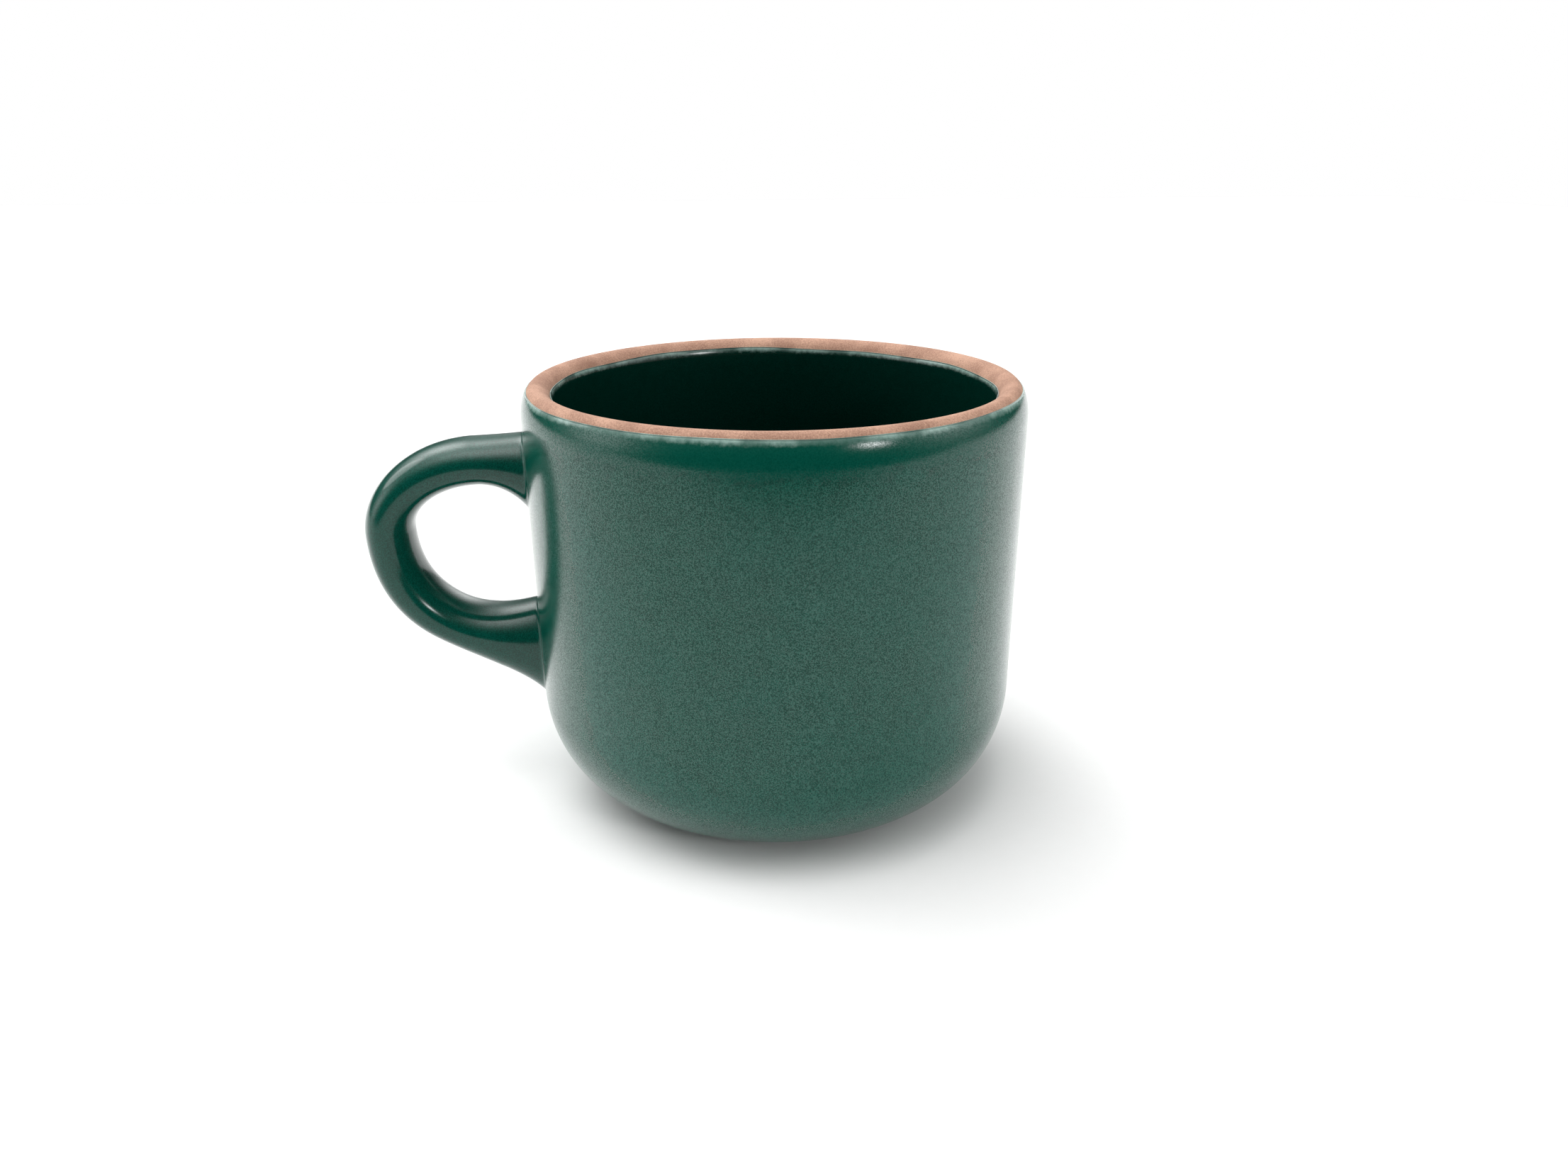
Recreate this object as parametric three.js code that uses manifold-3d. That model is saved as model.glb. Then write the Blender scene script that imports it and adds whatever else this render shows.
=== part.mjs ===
// A stoneware teacup: a red clay cup with a bare lip and a bare flat foot, a clay handle luted on
// with slip at two places, and a dark green glaze on the outside, the inside and the handle.
// Millimetres, +Z up. The origin is the middle of the foot, on the cup's axis, and the handle points along -X.

import * as THREE from "three";
import { mergeVertices } from "three/addons/utils/BufferGeometryUtils.js";
import Module from "manifold-3d";

const wasm = await Module();
wasm.setup();

// Clay cup
const cupHeight = 74.2;
const wallRadius = 42.6;
const innerRadius = 37.9;
const lipRadius = 40.5; // where the rounded lip is highest
const shoulderHeight = 5.4; // outside, the wall leans in to the lip over this height
const innerLipHeight = 3; // inside, it leans out to the lip over this one
const cornerWidth = 15.9; // large rounded corner between the wall and the foot
const cornerHeight = 18.1;
const innerCornerWidth = 14;
const innerCornerHeight = 15.5;
const footRadius = 26.2;
const footHeight = 1.6; // the foot lifts the rounded corner off the table by this much
const footEdge = 0.5; // chamfer round the foot
const floorThickness = 5.6;

// Glaze
const glazeThickness = 0.4;
const bareOutside = 0.9; // clay left bare below the top of the lip
const bareInside = 1.5;
const bareFoot = 1.2; // clay left bare beside the foot
const gap = 0.05; // clearance under a coat

// Handle: the centreline is two Bezier arcs, each point given as distance from the axis and height
const handleReach = 67.4;
const handleMidHeight = 48.6;
const upperArc = [[41, 59], [56.4, 64.4], [handleReach, 56.3], [handleReach, handleMidHeight]];
const lowerArc = [[handleReach, handleMidHeight], [handleReach, 29.4], [49.4, 28.7], [41, 26.6]];
const handleThickness = 7.3; // in the plane of the handle
const handleWidth = 12.3; // across it
// Growth of the thickness at each root, and the share of the length over which it fades.
const upperFlare = { thickness: 6, length: 0.15 };
const lowerFlare = { thickness: 11.4, length: 0.27 };
const rootWidening = 1.6;
const slipThickness = 0.6; // layer of slip between the wall and the handle

// Fineness
const turnSegments = 44;
const handleSides = 20;
const handleSteps = 30;

const redClay = new THREE.MeshStandardMaterial({ color: 0xa8755c, roughness: 0.9, metalness: 0 });
const greenGlaze = new THREE.MeshStandardMaterial({ color: 0x1f5245, roughness: 0.35, metalness: 0 });
const slipClay = new THREE.MeshStandardMaterial({ color: 0x9c6a52, roughness: 0.95, metalness: 0 });

// Heights and centres that follow from the sizes above
const shoulderBase = cupHeight - shoulderHeight;
const innerLipBase = cupHeight - innerLipHeight;
const cornerCentre = [wallRadius - cornerWidth, footHeight + cornerHeight];
const innerCornerCentre = [innerRadius - innerCornerWidth, floorThickness + innerCornerHeight];

// Points of an elliptical arc in the (radius, height) half-plane, with its angles in degrees
function arc([centreRadius, centreHeight], [width, height], from, to, steps) {
  const start = THREE.MathUtils.degToRad(from);
  const end = THREE.MathUtils.degToRad(to);
  const curve = new THREE.EllipseCurve(centreRadius, centreHeight, width, height, start, end, to < from);
  return curve.getPoints(steps);
}

// Angle at which an arc of the given height has dropped by a distance from its top
function angleBelowTop(drop, height) {
  return THREE.MathUtils.radToDeg(Math.asin(1 - drop / height));
}

// The clay surface in runs that go from the foot up the outside, over the lip and down the inside
function outsideRun() {
  const start = THREE.MathUtils.radToDeg(Math.asin(bareFoot / cornerWidth)) - 90;
  const corner = arc(cornerCentre, [cornerWidth, cornerHeight], start, 0, 9);
  const shoulder = arc(
    [lipRadius, shoulderBase],
    [wallRadius - lipRadius, shoulderHeight],
    0,
    angleBelowTop(bareOutside, shoulderHeight),
    4,
  );
  return [...corner, ...shoulder];
}

function lipRun() {
  const outer = arc(
    [lipRadius, shoulderBase],
    [wallRadius - lipRadius, shoulderHeight],
    angleBelowTop(bareOutside, shoulderHeight),
    90,
    3,
  );
  const inner = arc(
    [lipRadius, innerLipBase],
    [lipRadius - innerRadius, innerLipHeight],
    90,
    180 - angleBelowTop(bareInside, innerLipHeight),
    3,
  );
  return [...outer, ...inner.slice(1)];
}

function insideRun() {
  const lean = arc(
    [lipRadius, innerLipBase],
    [lipRadius - innerRadius, innerLipHeight],
    180 - angleBelowTop(bareInside, innerLipHeight),
    180,
    2,
  );
  const corner = arc(innerCornerCentre, [innerCornerWidth, innerCornerHeight], 0, -90, 8);
  return [...lean, ...corner, new THREE.Vector2(0, floorThickness)];
}

function footRun() {
  return [
    new THREE.Vector2(0, 0),
    new THREE.Vector2(footRadius - footEdge, 0),
    new THREE.Vector2(footRadius, footEdge),
    new THREE.Vector2(footRadius, footHeight),
    new THREE.Vector2(cornerCentre[0], footHeight),
  ];
}

// A run moved off the clay by a distance, along its own normals
function offClay(run, distance) {
  return run.map(({ x, y }, i) => {
    const before = run[Math.max(i - 1, 0)];
    const after = run[Math.min(i + 1, run.length - 1)];
    const along = after.clone().sub(before).normalize();
    return new THREE.Vector2(x === 0 ? 0 : x + along.y * distance, y - along.x * distance);
  });
}

// A solid of revolution about Z from a profile in the (radius, height) half-plane
function turned(profile) {
  return new THREE.LatheGeometry(profile, turnSegments).rotateX(Math.PI / 2);
}

// The cup's outer shape as a filled solid, grown by a distance, to fit the handle's pieces to the wall
function filledCup(growth) {
  const side = offClay(outsideRun(), growth);
  const bottom = new THREE.Vector2(0, side[0].y);
  const top = new THREE.Vector2(0, side.at(-1).y);
  return turned([bottom, ...side, top]);
}

const handleLine = new THREE.CurvePath();
for (const points of [upperArc, lowerArc]) {
  const places = points.map(([reach, height]) => new THREE.Vector3(-reach, 0, height));
  handleLine.add(new THREE.CubicBezierCurve3(...places));
}

// Size of the handle's section at a share of its length, 0 at the upper root and 1 at the lower
function handleSection(share) {
  const upper = Math.max(0, 1 - share / upperFlare.length) ** 2;
  const lower = Math.max(0, 1 - (1 - share) / lowerFlare.length) ** 2;
  return {
    thickness: handleThickness + upperFlare.thickness * upper + lowerFlare.thickness * lower,
    width: handleWidth + rootWidening * (upper + lower),
  };
}

// A bar of oval section bent along the centreline, grown all round by a distance
function handleBar(growth) {
  const bar = new THREE.CylinderGeometry(1, 1, 1, handleSides, handleSteps);
  const place = bar.getAttribute("position");
  const across = new THREE.Vector3(0, 1, 0);
  const vertex = new THREE.Vector3();
  for (let i = 0; i < place.count; i++) {
    vertex.fromBufferAttribute(place, i);
    const share = THREE.MathUtils.clamp(0.5 - vertex.y, 0, 1);
    const { thickness, width } = handleSection(share);
    const outwards = new THREE.Vector3().crossVectors(across, handleLine.getTangent(share));
    const spot = handleLine
      .getPoint(share)
      .addScaledVector(outwards, vertex.x * (thickness / 2 + growth))
      .addScaledVector(across, vertex.z * (width / 2 + growth));
    place.setXYZ(i, spot.x, spot.y, spot.z);
  }
  return bar;
}

function toSolid(geometry) {
  const bare = geometry.clone().deleteAttribute("normal").deleteAttribute("uv");
  const merged = mergeVertices(bare, 1e-4);
  return new wasm.Manifold(
    new wasm.Mesh({
      numProp: 3,
      vertProperties: new Float32Array(merged.attributes.position.array),
      triVerts: new Uint32Array(merged.index.array),
    }),
  );
}

function toGeometry(solid) {
  const mesh = solid.getMesh();
  const geometry = new THREE.BufferGeometry();
  geometry.setAttribute("position", new THREE.BufferAttribute(mesh.vertProperties, 3));
  geometry.setIndex(new THREE.BufferAttribute(mesh.triVerts, 1));
  geometry.computeVertexNormals();
  return geometry;
}

function named(name, geometry, material) {
  const mesh = new THREE.Mesh(geometry, material);
  mesh.name = name;
  return mesh;
}

// Foot, rounded corner, wall, lip, inside and floor, turned in one piece
function clayCup() {
  const profile = [...footRun(), ...outsideRun(), ...lipRun().slice(1), ...insideRun().slice(1)];
  return named("clay_cup", turned(profile), redClay);
}

// The handle, cut to the curve of the wall and held off it by the slip
function clayHandle() {
  const solid = toSolid(handleBar(0)).subtract(toSolid(filledCup(slipThickness + gap)));
  return named("clay_handle", toGeometry(solid), redClay);
}

// The slip under one root, as a block of the handle's section between the wall and the handle
function slipJoint(name, height, size) {
  const layer = toSolid(filledCup(slipThickness)).subtract(toSolid(filledCup(gap)));
  const around = new THREE.BoxGeometry(size, size, size).translate(-wallRadius, 0, height);
  const solid = toSolid(handleBar(0)).intersect(layer).intersect(toSolid(around));
  return named(name, toGeometry(solid), slipClay);
}

// The coat on the outside, open where the two joints are
function outsideGlaze() {
  const run = outsideRun();
  const under = offClay(run, gap).reverse();
  const ring = turned([...under, ...offClay(run, glazeThickness), under[0]]);
  const solid = toSolid(ring).subtract(toSolid(handleBar(2 * gap)));
  return named("outside_glaze", toGeometry(solid), greenGlaze);
}

// The coat on the inside wall and floor
function insideGlaze() {
  const run = insideRun();
  const profile = [...offClay(run, gap).reverse(), ...offClay(run, glazeThickness)];
  return named("inside_glaze", turned(profile), greenGlaze);
}

// The coat on the handle, a sleeve that ends on the coat of the wall
function handleGlaze() {
  const sleeve = toSolid(handleBar(glazeThickness)).subtract(toSolid(handleBar(gap)));
  const solid = sleeve.subtract(toSolid(filledCup(glazeThickness + gap)));
  return named("handle_glaze", toGeometry(solid), greenGlaze);
}

const teacup = new THREE.Group();
teacup.name = "teacup";
teacup.add(clayCup());
teacup.add(clayHandle());
teacup.add(slipJoint("upper_slip_joint", upperArc[0][1], 24));
teacup.add(slipJoint("lower_slip_joint", lowerArc[3][1], 28));
teacup.add(outsideGlaze());
teacup.add(insideGlaze());
teacup.add(handleGlaze());

export default teacup;
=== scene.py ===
from math import atan2, copysign, cos, hypot, log, pi, radians, sin, sqrt

import bmesh
import bpy
from mathutils import Matrix, Vector


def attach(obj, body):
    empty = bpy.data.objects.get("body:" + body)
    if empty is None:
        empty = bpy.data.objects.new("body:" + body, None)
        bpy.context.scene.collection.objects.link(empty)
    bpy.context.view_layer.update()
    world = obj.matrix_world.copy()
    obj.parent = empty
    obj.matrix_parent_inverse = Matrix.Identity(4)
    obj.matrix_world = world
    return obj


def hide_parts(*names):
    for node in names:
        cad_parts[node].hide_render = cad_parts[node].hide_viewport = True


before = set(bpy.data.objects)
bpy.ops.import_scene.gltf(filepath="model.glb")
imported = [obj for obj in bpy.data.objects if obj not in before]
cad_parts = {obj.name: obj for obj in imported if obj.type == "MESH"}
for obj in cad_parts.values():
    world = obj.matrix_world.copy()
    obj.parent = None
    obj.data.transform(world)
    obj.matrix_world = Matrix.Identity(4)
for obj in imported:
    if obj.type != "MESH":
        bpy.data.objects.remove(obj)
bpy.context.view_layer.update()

mm = 0.001  # shapes are drawn in millimetres and brought to metres when they are finished
print("frame loaded:", ", ".join(sorted(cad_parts)))


class Signal:  # one socket of a material: sums on it add nodes
    def __init__(self, tree, socket):
        self.tree = tree
        self.socket = socket

    def node(self, kind, settings, inputs, output=0):  # any node: settings first, then its sockets
        made = self.tree.nodes.new(kind)
        for name, value in settings.items():
            setattr(made, name, value)
        for name, value in inputs.items():
            if isinstance(value, Signal):
                self.tree.links.new(value.socket, made.inputs[name])
            else:
                made.inputs[name].default_value = value
        return Signal(self.tree, made.outputs[output])

    def maths(self, operation, first, second=0.0):
        return self.node("ShaderNodeMath", {"operation": operation}, {0: first, 1: second})

    def __add__(self, other):
        return self.maths("ADD", self, other)

    __radd__ = __add__

    def __mul__(self, other):
        return self.maths("MULTIPLY", self, other)

    __rmul__ = __mul__

    def __sub__(self, other):
        return self.maths("SUBTRACT", self, other)

    def __rsub__(self, other):
        return self.maths("SUBTRACT", other, self)

    def step(self, low, high, bottom=0.0, top=1.0):  # smooth rise from bottom to top between low and high
        return self.node(
            "ShaderNodeMapRange", {"interpolation_type": "SMOOTHSTEP"},
            {"Value": self, "From Min": low, "From Max": high, "To Min": bottom, "To Max": top},
        )

    def noise(self, size, detail=2.0, rough=0.5, warp=0.0, stretch=(1, 1, 1)):  # size of one blot in mm
        spot = self
        if stretch != (1, 1, 1):
            spot = self.node("ShaderNodeMapping", {}, {"Vector": self, "Scale": stretch})
        return spot.node(
            "ShaderNodeTexNoise", {"noise_dimensions": "3D"},
            {
                "Vector": spot, "Scale": 1 / (size * mm), "Detail": detail, "Roughness": rough,
                "Distortion": warp,
            },
        )

    def blend(self, under, over):  # colour mix with this signal as the factor
        factor, first, second, colourOut = 0, 6, 7, 2  # the Mix node's sockets for colours
        return self.node(
            "ShaderNodeMix", {"data_type": "RGBA", "clamp_factor": True},
            {factor: self, first: under, second: over}, colourOut,
        )

    def bump(self, depth, strength=1.0, onto=None):  # depth in mm
        inputs = {"Height": self, "Distance": depth * mm, "Strength": strength}
        if onto:
            inputs["Normal"] = onto
        return self.node("ShaderNodeBump", {}, inputs)


def newMaterial(name, fixed):  # gives the material, the place on the piece and a plug for its signals
    material = bpy.data.materials.new(name)
    material.use_nodes = True
    tree = material.node_tree
    shader = tree.nodes["Principled BSDF"]
    for socket, value in fixed.items():
        shader.inputs[socket].default_value = value
    place = Signal(tree, tree.nodes.new("ShaderNodeTexCoord").outputs["Object"])

    def plug(**signals):
        for socket, signal in signals.items():
            tree.links.new(signal.socket, shader.inputs[socket.replace("_", " ")])

    return material, place, plug


# colours are linear; widths and depths are in mm
glazeLook = {
    "deep": (0.0004, 0.042, 0.028, 1), "thin": (0.0022, 0.084, 0.057, 1),
    "frostAndHighlight": (0.30, 0.44, 0.39, 1), "frostAndHighlightWidth": 1.1, "frostAndHighlightRough": 0.15,  # pale line along the lip's edge: thinner glaze there, and partly a painted highlight of the glaze's rolled edge
    "thick": (0.0005, 0.062, 0.042, 1), "blot": (0.0003, 0.030, 0.021, 1),  # pooled glaze below the lip
    "poolAndShade": (4.6, 6.6), "poolAndShadeWander": 5,  # how far below the edge the pooled band fades out
    "poolAndShadeShare": 0.70, "blotShare": 1.7, "blotSize": 1.7,
    "rough": 0.19, "poolRough": 0.15, "ior": 1.25, "coatIor": 1.5, "coat": (0.13, 0.82),
    "grain": 0.21, "grainDepth": 0.013, "ripple": 3.5, "rippleDepth": 0.03,
    "waver": 0.9, "waverWidth": 0.9, "patch": 7,  # how the pale line wanders and breaks up
}
# inside the cup the glaze colours carry painted shade: all far darker than outside, and the band under the
# edge, reaching 18 mm down, leaves it lighter near the lip and darker deeper in the cup
innerLook = dict(
    glazeLook, deep=(0.0002, 0.0090, 0.0060, 1), thin=(0.0003, 0.017, 0.0115, 1),
    thick=(0.0002, 0.028, 0.019, 1), blot=(0.0001, 0.014, 0.009, 1), poolAndShade=(-6, 18),
    rough=0.16, grainDepth=0.004, coat=(0.4, 0.6),
)
handleLook = dict(
    glazeLook, deep=(0.0006, 0.040, 0.028, 1), thin=(0.0012, 0.068, 0.048, 1), frostAndHighlightWidth=0,
    rough=0.16, ior=1.24, coat=(0.35, 0.5), grainDepth=0.002, rippleDepth=0.02,
)


def glazeMaterial(name, look):
    fixed = {"IOR": look["ior"], "Coat IOR": look["coatIor"], "Coat Roughness": look["rough"]}
    material, place, plug = newMaterial(name, fixed)
    ripple = place.noise(look["ripple"], 2, 0.5)
    grain = place.noise(look["grain"], 2, 0.6)
    colour = (ripple * 0.12 + grain * 0.88).step(0.38, 0.62).blend(look["deep"], look["thin"])
    rough = grain.step(0.3, 0.7, look["rough"] - 0.04, look["rough"] + 0.05)
    if look["frostAndHighlightWidth"]:
        fromEdge = place.node("ShaderNodeAttribute", {"attribute_name": "fromEdge"}, {}, "Fac")  # metres
        # a band below the edge: pooled glaze on the outside; on the inside the same band is painted shade,
        # lighter near the lip and darker further down
        low, high = look["poolAndShade"]
        poolAndShade = (fromEdge + (ripple - 0.5) * (look["poolAndShadeWander"] * mm)).step(low * mm, high * mm, 1, 0)
        flecks = place.noise(look["blotSize"], 3, 0.6).step(0.40, 0.62, 0, look["blotShare"])
        blots = poolAndShade * (1 - poolAndShade) * flecks  # they gather where the pool ends
        colour = blots.blend((poolAndShade * look["poolAndShadeShare"]).blend(colour, look["thick"]), look["blot"])
        rough = rough - poolAndShade * (look["rough"] - look["poolRough"])
        # the pale line at the glaze's edge: partly thinner glaze, partly a painted highlight
        waver = place.noise(look["waver"], 3, 0.6) - 0.5
        patch = place.noise(look["patch"], 1, 0.5).step(0.40, 0.60, 0.3, 0.9)
        line = (fromEdge + waver * (look["waverWidth"] * mm)).step(0, look["frostAndHighlightWidth"] * mm, 1, 0) * patch
        colour = line.blend(colour, look["frostAndHighlight"])
        rough = rough + line * look["frostAndHighlightRough"]
    plug(
        Base_Color=colour, Roughness=rough, Coat_Weight=grain.step(0.40, 0.60, *look["coat"]),
        Normal=grain.bump(look["grainDepth"], 1, ripple.bump(look["rippleDepth"])),
    )
    return material


clayLook = {
    "light": (0.525, 0.315, 0.222, 1), "dark": (0.30, 0.162, 0.110, 1), "speck": (0.17, 0.08, 0.05, 1),
    "sand": 0.28, "patch": 6, "grit": 0.55, "speckShare": 0.55,
    "rough": 0.85, "ior": 1.45, "sandDepth": 0.05, "patchDepth": 0.10,
}


def clayMaterial(name, look):
    material, place, plug = newMaterial(name, {"Roughness": look["rough"], "IOR": look["ior"]})
    sand = place.noise(look["sand"], 3, 0.65)
    patch = place.noise(look["patch"], 2, 0.5)
    grit = place.node(
        "ShaderNodeTexVoronoi", {"feature": "F1"}, {"Vector": place, "Scale": 1 / (look["grit"] * mm)},
    )
    specks = grit.step(0.10, 0.22, 1, 0) * patch.step(0.45, 0.6)
    tone = (sand * 0.55 + patch * 0.45).step(0.36, 0.66).blend(look["dark"], look["light"])
    plug(
        Base_Color=(specks * look["speckShare"]).blend(tone, look["speck"]),
        Normal=sand.bump(look["sandDepth"], 1, patch.bump(look["patchDepth"])),
    )
    return material


slipLook = {
    "light": (0.46, 0.26, 0.18, 1), "dark": (0.30, 0.15, 0.10, 1),
    "streak": 0.8, "stretch": (1, 1, 2.2), "rough": 0.92, "ior": 1.45, "depth": 0.06,
}


def slipMaterial(name, look):
    material, place, plug = newMaterial(name, {"Roughness": look["rough"], "IOR": look["ior"]})
    streak = place.noise(look["streak"], 4, 0.6, 0.3, look["stretch"])
    plug(
        Base_Color=streak.step(0.35, 0.65).blend(look["dark"], look["light"]),
        Normal=streak.bump(look["depth"]),
    )
    return material


# all in mm; outside, inside and floor are measured on the glaze
cupShape = {
    "height": 74.2, "lipRadius": 40.5,
    "outside": 43.0, "shoulder": 5.4,  # the shoulder is how far down the lean-in starts
    "inside": 37.5, "innerLip": 3.0,
    "cornerWidth": 16.3, "cornerHeight": 18.5, "cornerBottom": 1.2,
    "innerCornerWidth": 13.6, "innerCornerHeight": 15.1, "floor": 6.0,
    "footRadius": 26.2, "footRound": 0.6,
    "glazeStart": 27.4, "startStep": 0.8,  # the coat's round corner ends this much sooner
    "outsideLine": 0.84, "insideLine": 1.62,  # bare clay below the top of the lip
    "outsideWave": 0.16, "insideWave": 0.35, "waveReach": 3.5,  # the dipped edges wander this much
    "glaze": 0.22, "clayGap": 0.03, "turns": 224, "clayRow": 4, "glazeRow": 3,
}
lineOutside = cupShape["height"] - cupShape["outsideLine"]
lineInside = cupShape["height"] - cupShape["insideLine"]


def wire(*corners):  # a bent line in the (radius, height) plane, by pulling one point along
    line = bmesh.new()
    tip = bmesh.ops.create_vert(line, co=(corners[0][0], 0, corners[0][1]))["vert"][0]
    for (radius, height), (lastRadius, lastHeight) in zip(corners[1:], corners):
        tip = bmesh.ops.extrude_vert_indiv(line, verts=[tip])["verts"][0]
        bmesh.ops.translate(line, verts=[tip], vec=(radius - lastRadius, 0, height - lastHeight))
    return line


def roundOff(line, corner, width, height, steps):  # elliptical round at the point nearest to corner
    spot = Vector((corner[0], 0, corner[1]))
    point = min(line.verts, key=lambda v: (v.co - spot).length)
    squash = Matrix.Diagonal((1, 1, width / height, 1))
    bmesh.ops.transform(line, matrix=squash, verts=line.verts)
    bmesh.ops.bevel(
        line, geom=[point], offset=width, offset_type="OFFSET", segments=steps, profile=0.5,
        affect="VERTICES", material=-1,
    )
    bmesh.ops.transform(line, matrix=squash.inverted(), verts=line.verts)


def addRows(line, longest):  # long straight runs get extra points, for even shading
    for edge in [e for e in line.edges if e.calc_length() > longest]:
        bmesh.ops.subdivide_edges(line, edges=[edge], cuts=int(edge.calc_length() / longest))


def cutAbove(line, height):
    bmesh.ops.bisect_plane(
        line, geom=line.verts[:] + line.edges[:], plane_co=(0, 0, height), plane_no=(0, 0, 1),
        clear_outer=True,
    )


mergeDistance = 1e-4  # mm, closes the poles on the axis


def turn(line, steps):  # once round the axis
    bmesh.ops.spin(
        line, geom=line.verts[:] + line.edges[:], cent=(0, 0, 0), axis=(0, 0, 1), angle=2 * pi,
        steps=steps, use_merge=True,
    )
    bmesh.ops.remove_doubles(line, verts=line.verts, dist=mergeDistance)
    bmesh.ops.recalc_face_normals(line, faces=line.faces)


def faceOut(shell):  # a closed shell whose volume comes out negative is turned round
    if shell.calc_volume(signed=True) < 0:
        bmesh.ops.reverse_faces(shell, faces=shell.faces)


def openEdges(shell):
    return sum(1 for edge in shell.edges if len(edge.link_faces) != 2)


def finish(shell, name, material, node):  # brings a piece to metres and puts it in the scene
    faceOut(shell)
    bmesh.ops.transform(shell, matrix=Matrix.Scale(mm, 4), verts=shell.verts)
    print(name, "faces", len(shell.faces), "open edges", openEdges(shell))
    mesh = bpy.data.meshes.new(name)
    shell.to_mesh(mesh)
    shell.free()
    mesh.shade_smooth()
    piece = bpy.data.objects.new(name, mesh)
    bpy.context.scene.collection.objects.link(piece)
    mesh.materials.append(material)
    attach(piece, "root")
    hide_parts(node)


def makeClay(s, material):  # the clay lies just under both coats
    under = s["glaze"] + s["clayGap"]
    outer, inner = s["outside"] - under, s["inside"] + under
    bottom, floor = s["cornerBottom"] + under, s["floor"] - under
    line = wire(
        (0, 0), (s["footRadius"], 0), (s["footRadius"], bottom), (outer, bottom), (outer, s["height"]),
        (s["lipRadius"], s["height"]), (inner, s["height"]), (inner, floor), (0, floor),
    )
    roundOff(line, (s["footRadius"], 0), s["footRound"], s["footRound"], 6)
    roundOff(line, (outer, bottom), s["cornerWidth"] - under, s["cornerHeight"] - under, 36)
    roundOff(line, (outer, s["height"]), outer - s["lipRadius"], s["shoulder"], 20)
    roundOff(line, (inner, s["height"]), s["lipRadius"] - inner, s["innerLip"], 16)
    roundOff(line, (inner, floor), s["innerCornerWidth"], s["innerCornerHeight"], 30)
    addRows(line, s["clayRow"])
    turn(line, s["turns"])
    finish(line, "clay_cup_turned", material, "clay_cup")


def softenEdges(shell, size):  # rounds the two sharp rings at each end of a coat
    leastTurn = 0.9  # radians from face to face at which an edge counts as sharp
    sharp = [edge for edge in shell.edges if edge.calc_face_angle(0) > leastTurn]
    bmesh.ops.bevel(
        shell, geom=sharp, offset=size, offset_type="OFFSET", segments=3, profile=0.5,
        affect="EDGES", material=-1,
    )


# the dipped edge wanders up and down, and each point remembers how far below the edge it is
def waveEdge(shell, lineHeight, radiusAt, wave, reach):
    fromEdge = shell.verts.layers.float.new("fromEdge")
    for vert in shell.verts:
        below = lineHeight - vert.co.z
        vert[fromEdge] = below * mm
        if below > reach:
            continue
        around = atan2(vert.co.y, vert.co.x)
        rise = -wave * (sin(2 * around + 0.6) * 0.5 + sin(5 * around + 2) * 0.3 + sin(11 * around) * 0.2)
        rise *= 1 - max(below, 0) / reach
        flat = vert.co.xy.normalized() * (radiusAt(vert.co.z + rise) - radiusAt(vert.co.z))
        vert.co += Vector((flat.x, flat.y, rise))


def lipCurve(s, wall, drop):  # radius at a height on the rounded side of the lip
    def radiusAt(height):
        share = min(1, max(0, (s["height"] - height) / drop))
        return s["lipRadius"] + (wall - s["lipRadius"]) * sqrt(1 - (1 - share) ** 2)
    return radiusAt


def skin(shell, thickness, side):  # side 1 keeps the shown face away from the axis, -1 towards it
    edgeRound = 0.4  # of the thickness
    belt = max(shell.faces, key=lambda f: f.calc_center_median().xy.length)
    centre = belt.calc_center_median()
    if belt.normal.dot(Vector((centre.x, centre.y, 0))) * side < 0:
        bmesh.ops.reverse_faces(shell, faces=shell.faces)
    shell.normal_update()
    bmesh.ops.solidify(shell, geom=shell.faces[:], thickness=thickness)
    softenEdges(shell, thickness * edgeRound)


def makeOutsideGlaze(s, material):
    line = wire(
        (s["glazeStart"], s["cornerBottom"]), (s["outside"], s["cornerBottom"]),
        (s["outside"], s["height"]), (s["lipRadius"], s["height"]),
    )
    corner = (s["outside"], s["cornerBottom"])
    roundOff(line, corner, s["cornerWidth"] - s["startStep"], s["cornerHeight"], 40)
    roundOff(line, (s["outside"], s["height"]), s["outside"] - s["lipRadius"], s["shoulder"], 24)
    cutAbove(line, lineOutside)
    addRows(line, s["glazeRow"])
    turn(line, s["turns"])
    skin(line, s["glaze"], 1)
    onLip = lipCurve(s, s["outside"], s["shoulder"])
    waveEdge(line, lineOutside, onLip, s["outsideWave"], s["waveReach"])
    finish(line, "outside_glaze_coat", material, "outside_glaze")


def makeInsideGlaze(s, material):
    line = wire(
        (0, s["floor"]), (s["inside"], s["floor"]),
        (s["inside"], s["height"]), (s["lipRadius"], s["height"]),
    )
    roundOff(line, (s["inside"], s["floor"]), s["innerCornerWidth"], s["innerCornerHeight"], 36)
    roundOff(line, (s["inside"], s["height"]), s["lipRadius"] - s["inside"], s["innerLip"], 20)
    cutAbove(line, lineInside)
    addRows(line, s["glazeRow"])
    turn(line, s["turns"])
    skin(line, s["glaze"], -1)
    onLip = lipCurve(s, s["inside"], s["innerLip"])
    waveEdge(line, lineInside, onLip, s["insideWave"], s["waveReach"])
    finish(line, "inside_glaze_coat", material, "inside_glaze")


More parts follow.
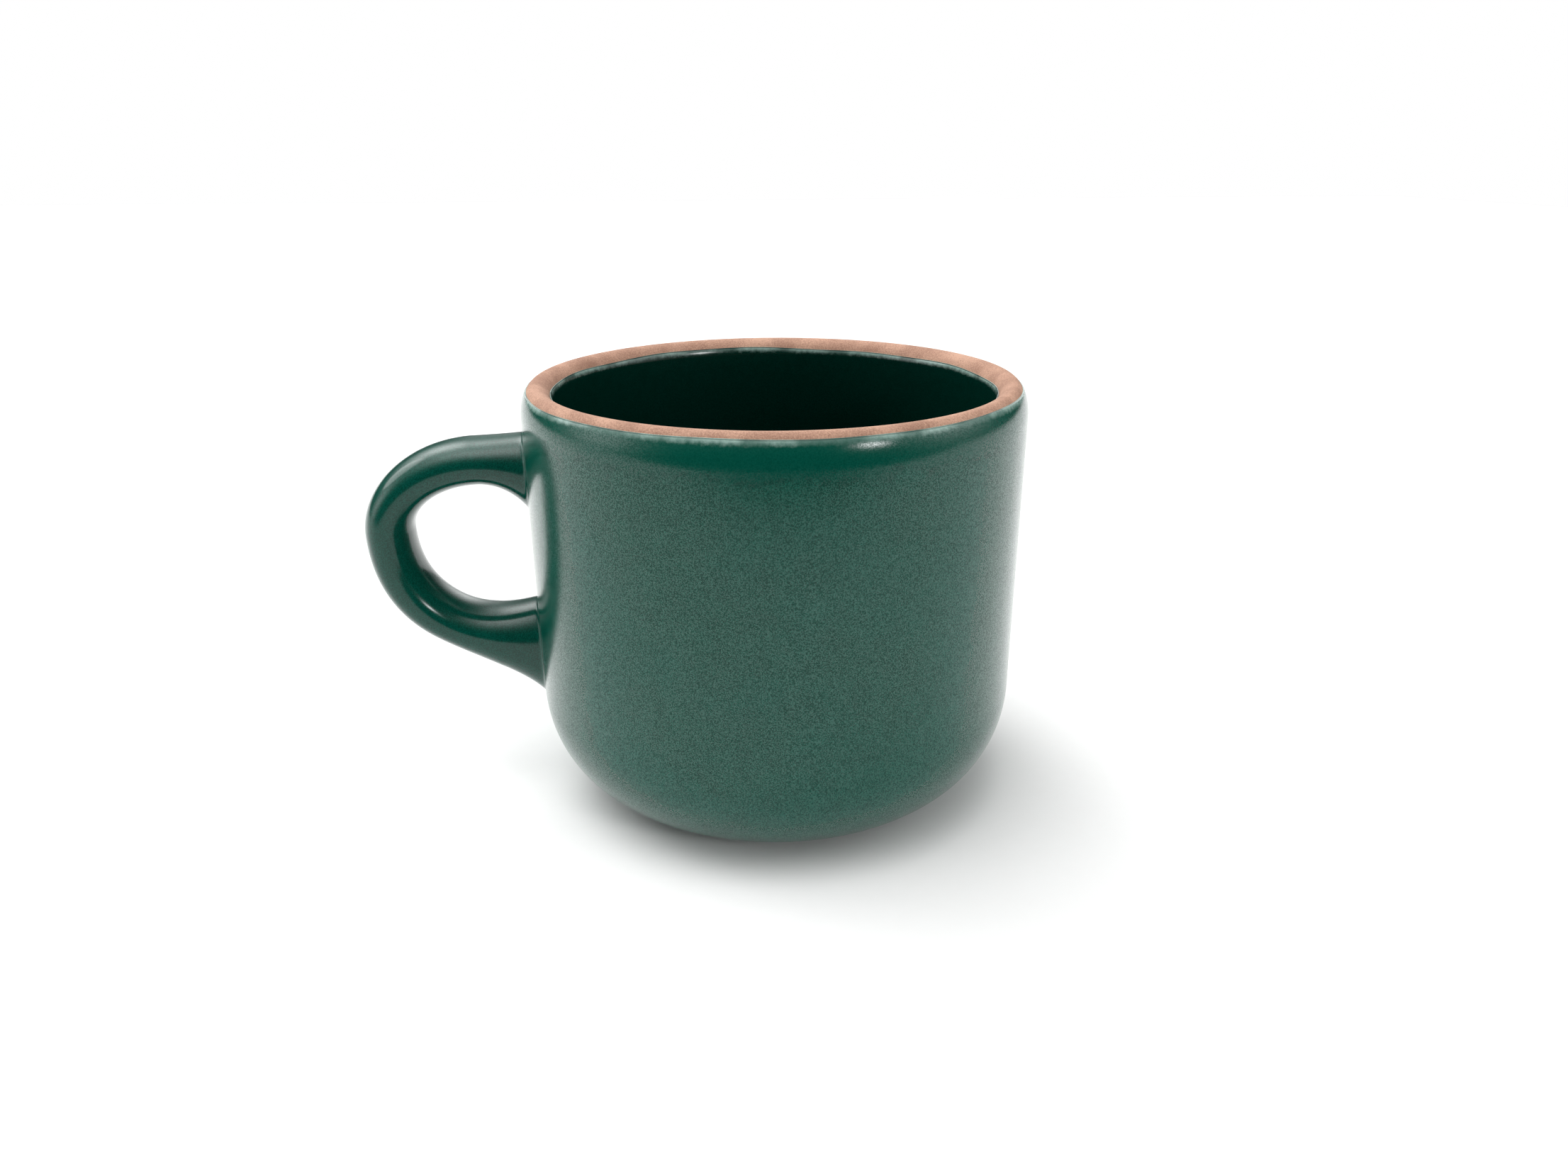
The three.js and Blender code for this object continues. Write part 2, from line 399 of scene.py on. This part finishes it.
# two curves, one above the other, each by its two ends and two pulls: distance from the axis, height, in mm
handleShape = {
    "upper": ((41, 59.05), (56.4, 64.45), (67.4, 56.3), (67.4, 48.6)),
    "lower": ((67.4, 48.6), (67.4, 29.4), (49.3, 28.6), (41, 26.5)),
    "thick": 7.95, "wide": 13.0, "square": 2.2,  # 2 is an ellipse, more is boxier
    "upperFlare": 6.15, "upperReach": 0.152,  # extra thickness at a root, and its share of the length
    "lowerFlare": 11.4, "lowerReach": 0.27, "widen": 1.75,
    "fillet": 0.6, "sink": 0.04, "glaze": 0.3,  # the rim of the fillet goes this far into the wall's coat
    "sides": 96, "rings": 150, "filletRings": 10,
    "softRings": 26, "softRounds": 16,  # rings eased at each root, and how many times
    "turnSpan": 0.12,  # radians either way, over which the fillet takes its direction
}


def bezier(points, t):  # spot and direction on a curve
    a, b, c, d = [Vector(point) for point in points]
    spot = a * (1 - t) ** 3 + b * 3 * t * (1 - t) ** 2 + c * 3 * t * t * (1 - t) + d * t ** 3
    slope = (b - a) * (1 - t) ** 2 + (c - b) * 2 * t * (1 - t) + (d - c) * t * t
    return spot, slope.normalized()


def centreLine(h, steps=300):  # even walk along both arcs: share of length, spot, direction
    walk = [bezier(h["upper"], i / steps) for i in range(steps + 1)]
    walk += [bezier(h["lower"], i / steps) for i in range(1, steps + 1)]
    shares = [0.0]
    for here, before in zip(walk[1:], walk):
        shares.append(shares[-1] + (here[0] - before[0]).length)
    return [(share / shares[-1], spot, slope) for share, (spot, slope) in zip(shares, walk)]


def wallRadiusAt(s, height):  # glazed outside of the cup
    up = s["cornerBottom"] + s["cornerHeight"] - height
    if up < 0:
        return s["outside"]
    return s["outside"] - s["cornerWidth"] * (1 - sqrt(1 - (up / s["cornerHeight"]) ** 2))


def makeHandle(h, s, material):
    line = centreLine(h)

    def along(share):  # spot and direction at a share of the whole length
        low, high = 0, len(line) - 1
        while high - low > 1:
            middle = (low + high) // 2
            low, high = (middle, high) if line[middle][0] <= share else (low, middle)
        blend = (share - line[low][0]) / (line[high][0] - line[low][0])
        return line[low][1].lerp(line[high][1], blend), line[low][2].lerp(line[high][2], blend).normalized()

    def surface(share, angle):  # the angle goes round the section, 0 on the outer side of the bend
        spot, slope = along(share)
        upper = max(0, 1 - share / h["upperReach"]) ** 2
        lower = max(0, 1 - (1 - share) / h["lowerReach"]) ** 2
        thick = h["thick"] + h["upperFlare"] * upper + h["lowerFlare"] * lower
        wide = h["wide"] + h["widen"] * (upper + lower)
        power = 2 / h["square"]
        out = copysign(abs(cos(angle)) ** power, cos(angle)) * thick / 2
        side = copysign(abs(sin(angle)) ** power, sin(angle)) * wide / 2
        reach, height = spot.x - slope.y * out, spot.y + slope.x * out
        return Vector((-reach, side, height))

    def clearance(point):
        return hypot(point.x, point.y) - wallRadiusAt(s, point.z)

    def shareAt(angle, distance, upperEnd):  # where this line of the surface is that far off the wall
        halvings = 26
        near, far = (0.0, 0.4) if upperEnd else (1.0, 0.6)
        for _ in range(halvings):
            middle = (near + far) / 2
            if clearance(surface(middle, angle)) < distance:
                near = middle
            else:
                far = middle
        return (near + far) / 2

    angles = [2 * pi * i / h["sides"] for i in range(h["sides"])]
    f, n = h["fillet"], h["filletRings"]
    turnsOfFillet = [radians(90 * (1 - i / n)) for i in range(n)]
    starts = [shareAt(angle, f, True) for angle in angles]
    ends = [shareAt(angle, f, False) for angle in angles]

    def filletPoint(angle, bend, upperEnd):  # bend goes from 0 on the handle to a quarter turn on the wall
        off = f * (1 - sin(bend))
        near = (angle, angle + h["turnSpan"], angle - h["turnSpan"])
        point, ahead, behind = [surface(shareAt(a, off, upperEnd), a) for a in near]
        radial = Vector((point.x, point.y, 0)).normalized()
        outwards = (ahead - behind).cross(radial).normalized()
        centre = along(0.0 if upperEnd else 1.0)[0]
        if outwards.dot(point - Vector((-centre.x, 0, centre.y))) < 0:
            outwards.negate()
        moved = point + outwards * f * (1 - cos(bend))
        sink = h["sink"] * sin(bend) ** 8
        reach = wallRadiusAt(s, moved.z) + f * (1 - sin(bend)) - sink
        flat = Vector((moved.x, moved.y)).normalized() * reach
        return Vector((flat.x, flat.y, moved.z))

    rings = [[filletPoint(angle, bend, True) for angle in angles] for bend in turnsOfFillet]
    for i in range(h["rings"] + 1):
        share = i / h["rings"]
        rings.append([surface(a + (b - a) * share, angle) for a, b, angle in zip(starts, ends, angles)])
    rings += [[filletPoint(angle, bend, False) for angle in angles] for bend in reversed(turnsOfFillet)]

    tube = bmesh.new()
    loop = bmesh.ops.create_circle(tube, segments=h["sides"], radius=1)["verts"]
    edges = tube.edges[:]
    for vert, spot in zip(loop, rings[0]):
        vert.co = spot
    roots, last = [], len(rings) - 1  # the two end rings stay on the wall
    for number, ring in enumerate(rings[1:], 1):
        pulled = bmesh.ops.extrude_edge_only(tube, edges=edges)["geom"]
        edges = [item for item in pulled if isinstance(item, bmesh.types.BMEdge)]
        fresh = {item for item in pulled if isinstance(item, bmesh.types.BMVert)}
        following = []
        for vert in loop:
            across = [edge.other_vert(vert) for edge in vert.link_edges]
            following.append(next(other for other in across if other in fresh))
        loop = following
        for vert, spot in zip(loop, ring):
            vert.co = spot
        if number <= h["softRings"] or last - h["softRings"] <= number < last:
            roots += loop
    allAxes = {"use_axis_x": True, "use_axis_y": True, "use_axis_z": True}
    for _ in range(h["softRounds"]):
        bmesh.ops.smooth_vert(tube, verts=roots, factor=0.5, **allAxes)
    bmesh.ops.recalc_face_normals(tube, faces=tube.faces)
    top = max(tube.faces, key=lambda face: face.calc_center_median().z)  # this one has to face up
    if top.normal.z < 0:
        bmesh.ops.reverse_faces(tube, faces=tube.faces)
    tube.normal_update()
    bmesh.ops.solidify(tube, geom=tube.faces[:], thickness=h["glaze"])
    finish(tube, "handle_glaze_coat", material, "handle_glaze")


bareClay = clayMaterial("clay, bare", clayLook)
outerGlaze = glazeMaterial("glaze, outside", glazeLook)
innerGlaze = glazeMaterial("glaze, inside", innerLook)
handleGlaze = glazeMaterial("glaze, handle", handleLook)
slip = slipMaterial("slip, dried", slipLook)
print("materials made")

makeClay(cupShape, bareClay)
makeOutsideGlaze(cupShape, outerGlaze)
makeInsideGlaze(cupShape, innerGlaze)
makeHandle(handleShape, cupShape, handleGlaze)
for node, material in (("clay_handle", bareClay), ("upper_slip_joint", slip), ("lower_slip_joint", slip)):
    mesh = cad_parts[node].data
    mesh.materials.clear()
    mesh.materials.append(material)
print("pieces made")


# metres, watts and levels of light
studio = {
    "sheet": ((-1.8, -0.25), (1.8, 2.6)),  # corners of the white table paper
    "paper": ((0.855, 0.857, 0.852, 1), (0.87, 0.87, 0.868, 1)), "paperRough": 0.9, "paperGloss": 0.2,
    "sideLampAt": (-0.34, 0.12, 0.25), "sideLampAim": (-0.13, 0.02, 0),  # it lights the handle's side
    "sideLampSize": 0.2, "sideLampPower": 0.3,
    "air": 0.004,
    # azimuth from behind the cup, clockwise, then height, both in degrees; level; spread in degrees
    "lamps": (
        (-112, 77, 5.1, 44), (-34, 45, 5.8, 28), (-94, 14, 2.6, 30), (8, 14, 3.0, 22), (100, 28, 2.3, 36),
        (141, 24, 34, 7.5),
    ),
}


def makeFloor(look):
    (left, front), (right, back) = look["sheet"]
    sheet = bmesh.new()
    bmesh.ops.create_grid(sheet, x_segments=2, y_segments=2, size=0.5)
    bmesh.ops.scale(sheet, verts=sheet.verts, vec=(right - left, back - front, 1))
    bmesh.ops.translate(sheet, verts=sheet.verts, vec=((left + right) / 2, (front + back) / 2, 0))
    mesh = bpy.data.meshes.new("table_paper")
    sheet.to_mesh(mesh)
    sheet.free()
    floor = bpy.data.objects.new("table_paper", mesh)
    bpy.context.scene.collection.objects.link(floor)
    fixed = {"Roughness": look["paperRough"], "Specular IOR Level": look["paperGloss"]}
    material, place, plug = newMaterial("paper, white", fixed)
    plug(Base_Color=place.noise(3, 2, 0.5).blend(*look["paper"]))
    mesh.materials.append(material)


def makeAir(look):  # soft lamps painted on the world; the camera itself sees plain white
    world = bpy.data.worlds.new("studio air")
    bpy.context.scene.world = world
    world.use_nodes = True
    tree = world.node_tree
    background = tree.nodes["Background"]
    background.inputs["Color"].default_value = (1, 1, 1, 1)
    way = Signal(tree, tree.nodes.new("ShaderNodeTexCoord").outputs["Generated"])
    level = look["air"]
    for around, up, glow, spread in look["lamps"]:
        a, b = radians(around), radians(up)
        towards = Vector((sin(a) * cos(b), cos(a) * cos(b), sin(b)))
        near = way.node("ShaderNodeVectorMath", {"operation": "DOT_PRODUCT"}, {0: way, 1: towards}, "Value")
        sharp = log(2) / (1 - cos(radians(spread / 2)))
        level = level + glow * way.maths("EXPONENT", (near - 1) * sharp)
    seen = Signal(tree, tree.nodes.new("ShaderNodeLightPath").outputs["Is Camera Ray"])
    tree.links.new((level * (1 - seen) + seen).socket, background.inputs["Strength"])


def makeSideLamp(look):
    light = bpy.data.lights.new("side lamp", "AREA")
    light.shape, light.size, light.energy = "DISK", look["sideLampSize"], look["sideLampPower"]
    lamp = bpy.data.objects.new("side lamp", light)
    lamp.location = look["sideLampAt"]
    away = Vector(look["sideLampAt"]) - Vector(look["sideLampAim"])
    lamp.rotation_euler = away.to_track_quat("Z", "Y").to_euler()
    lamp.visible_camera = False
    bpy.context.scene.collection.objects.link(lamp)


cameraView = {
    "handleTurn": 5.0,  # degrees round the cup, with the handle to the left
    "away": 186.66, "up": 109.64,  # mm from the cup's axis and above its foot
    "down": 21.83, "aside": 0.461, "roll": -0.165,  # degrees
    "lens": 24.97, "sensor": 36, "nearest": 0.01,  # mm, mm and metres
}


def makeCamera(view):
    heading = radians(view["aside"] + view["handleTurn"])
    pitch, roll = radians(view["down"]), radians(view["roll"])
    forward = Vector((sin(heading) * cos(pitch), cos(heading) * cos(pitch), -sin(pitch)))
    right = Vector((cos(heading), -sin(heading), 0))
    up = right.cross(forward)
    right, up = right * cos(roll) + up * sin(roll), up * cos(roll) - right * sin(roll)
    turnedBy = radians(view["handleTurn"])
    place = Vector((-sin(turnedBy) * view["away"], -cos(turnedBy) * view["away"], view["up"])) * mm
    lens = bpy.data.cameras.new("camera")
    lens.lens, lens.sensor_width, lens.clip_start = view["lens"], view["sensor"], view["nearest"]
    camera = bpy.data.objects.new("camera", lens)
    camera.matrix_world = Matrix((
        (right.x, up.x, -forward.x, place.x),
        (right.y, up.y, -forward.y, place.y),
        (right.z, up.z, -forward.z, place.z),
        (0, 0, 0, 1),
    ))
    bpy.context.scene.collection.objects.link(camera)
    bpy.context.scene.camera = camera


makeFloor(studio)
makeAir(studio)
makeSideLamp(studio)
makeCamera(cameraView)
bpy.context.scene.view_settings.view_transform = "Standard"
print("studio made")
